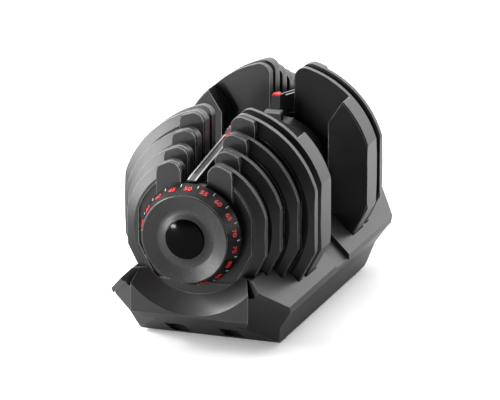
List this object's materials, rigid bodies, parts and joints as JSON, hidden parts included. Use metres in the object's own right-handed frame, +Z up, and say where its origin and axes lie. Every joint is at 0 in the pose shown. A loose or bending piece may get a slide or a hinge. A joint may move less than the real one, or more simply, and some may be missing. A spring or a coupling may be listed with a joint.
{
  "type": "adjustable dumbbell",
  "caption": "Dial-selected adjustable dumbbell docked in its open tray: slotted plates of growing size on each end, a turning number dial, pointer beams and a round grip",
  "frame": {"origin": "centre of the underside, on the surface the feet stand on", "axes": "X along the shaft, Y across, Z up"},
  "size_m": [0.4424, 0.212, 0.2392],
  "materials": {
    "plate_coat": "satin",
    "bright_steel": "brushed",
    "grip_metal": "satin",
    "tray_plastic": "matte",
    "foot_rubber": "matte",
    "mark_red": "gloss",
    "dial_grey": "satin",
    "dial_black": "satin",
    "cap_gloss": "gloss",
    "moulded_black": "satin"
  },
  "bodies": {
    "base": {"tray": "tray_plastic", "tray_feet": "foot_rubber"},
    "handle": {"shaft": "bright_steel", "grip": "grip_metal", "bridge": "moulded_black", "shaft_washers": "bright_steel", "shaft_nuts": "bright_steel", "guard_right": "moulded_black", "pointer_right": "moulded_black", "pointer_mark_right": "mark_red", "lock_spring_right": "bright_steel", "guard_left": "moulded_black", "pointer_left": "moulded_black", "pointer_mark_left": "mark_red", "lock_spring_left": "bright_steel"},
    "dial_right": {"drive_sleeve_right": "bright_steel", "index_gear_right": "moulded_black", "disc_1_right": "moulded_black", "disc_2_right": "moulded_black", "disc_3_right": "moulded_black", "disc_4_right": "moulded_black", "disc_5_right": "moulded_black", "dial_ring_right": "dial_black", "dial_face_right": "dial_grey", "dial_cap_right": "cap_gloss"},
    "slider_right": {"lock_slider_right": "moulded_black"},
    "plate_1_right_body": {"plate_1_right": "plate_coat"},
    "plate_2_right_body": {"plate_2_right": "plate_coat"},
    "plate_3_right_body": {"plate_3_right": "plate_coat"},
    "plate_4_right_body": {"plate_4_right": "plate_coat"},
    "plate_5_right_body": {"plate_5_right": "plate_coat"},
    "dial_left": {"drive_sleeve_left": "bright_steel", "index_gear_left": "moulded_black", "disc_1_left": "moulded_black", "disc_2_left": "moulded_black", "disc_3_left": "moulded_black", "disc_4_left": "moulded_black", "disc_5_left": "moulded_black", "dial_ring_left": "dial_black", "dial_face_left": "dial_grey", "dial_cap_left": "cap_gloss"},
    "slider_left": {"lock_slider_left": "moulded_black"},
    "plate_1_left_body": {"plate_1_left": "plate_coat"},
    "plate_2_left_body": {"plate_2_left": "plate_coat"},
    "plate_3_left_body": {"plate_3_left": "plate_coat"},
    "plate_4_left_body": {"plate_4_left": "plate_coat"},
    "plate_5_left_body": {"plate_5_left": "plate_coat"}
  },
  "joints": [
    {"name": "handle_lift", "type": "slide", "parent": "base", "child": "handle", "axis": [0, 0, 1], "range_m": [0, 0.2]},
    {"name": "dial_turn_right", "type": "hinge", "parent": "handle", "child": "dial_right", "pos_m": [0.2, 0, 0.131], "axis": [1, 0, 0], "range_deg": [-160, 160]},
    {"name": "lock_drop_right", "type": "slide", "parent": "handle", "child": "slider_right", "axis": [0, 0, -1], "range_m": [0, 0.005], "deforming": ["lock_spring_right"]},
    {"name": "plate_1_leave_right", "type": "slide", "parent": "handle", "child": "plate_1_right_body", "axis": [0, 0, -1], "range_m": [0, 0.2]},
    {"name": "plate_2_leave_right", "type": "slide", "parent": "handle", "child": "plate_2_right_body", "axis": [0, 0, -1], "range_m": [0, 0.2]},
    {"name": "plate_3_leave_right", "type": "slide", "parent": "handle", "child": "plate_3_right_body", "axis": [0, 0, -1], "range_m": [0, 0.2]},
    {"name": "plate_4_leave_right", "type": "slide", "parent": "handle", "child": "plate_4_right_body", "axis": [0, 0, -1], "range_m": [0, 0.2]},
    {"name": "plate_5_lift_right", "type": "slide", "parent": "base", "child": "plate_5_right_body", "axis": [0, 0, 1], "range_m": [0, 0.2]},
    {"name": "dial_turn_left", "type": "hinge", "parent": "handle", "child": "dial_left", "pos_m": [-0.2, 0, 0.131], "axis": [-1, 0, 0], "range_deg": [-160, 160]},
    {"name": "lock_drop_left", "type": "slide", "parent": "handle", "child": "slider_left", "axis": [0, 0, -1], "range_m": [0, 0.005], "deforming": ["lock_spring_left"]},
    {"name": "plate_1_leave_left", "type": "slide", "parent": "handle", "child": "plate_1_left_body", "axis": [0, 0, -1], "range_m": [0, 0.2]},
    {"name": "plate_2_leave_left", "type": "slide", "parent": "handle", "child": "plate_2_left_body", "axis": [0, 0, -1], "range_m": [0, 0.2]},
    {"name": "plate_3_leave_left", "type": "slide", "parent": "handle", "child": "plate_3_left_body", "axis": [0, 0, -1], "range_m": [0, 0.2]},
    {"name": "plate_4_leave_left", "type": "slide", "parent": "handle", "child": "plate_4_left_body", "axis": [0, 0, -1], "range_m": [0, 0.2]},
    {"name": "plate_5_lift_left", "type": "slide", "parent": "base", "child": "plate_5_left_body", "axis": [0, 0, 1], "range_m": [0, 0.2]}
  ],
  "couplings": [
    {"joint": "lock_drop_right", "follows": "handle_lift", "ratio": 0.025},
    {"joint": "plate_1_leave_right", "follows": "handle_lift", "ratio": 1},
    {"joint": "plate_2_leave_right", "follows": "handle_lift", "ratio": 1},
    {"joint": "plate_3_leave_right", "follows": "handle_lift", "ratio": 1},
    {"joint": "plate_4_leave_right", "follows": "handle_lift", "ratio": 1},
    {"joint": "plate_5_lift_right", "follows": "handle_lift", "ratio": 1},
    {"joint": "lock_drop_left", "follows": "handle_lift", "ratio": 0.025},
    {"joint": "plate_1_leave_left", "follows": "handle_lift", "ratio": 1},
    {"joint": "plate_2_leave_left", "follows": "handle_lift", "ratio": 1},
    {"joint": "plate_3_leave_left", "follows": "handle_lift", "ratio": 1},
    {"joint": "plate_4_leave_left", "follows": "handle_lift", "ratio": 1},
    {"joint": "plate_5_lift_left", "follows": "handle_lift", "ratio": 1}
  ]
}
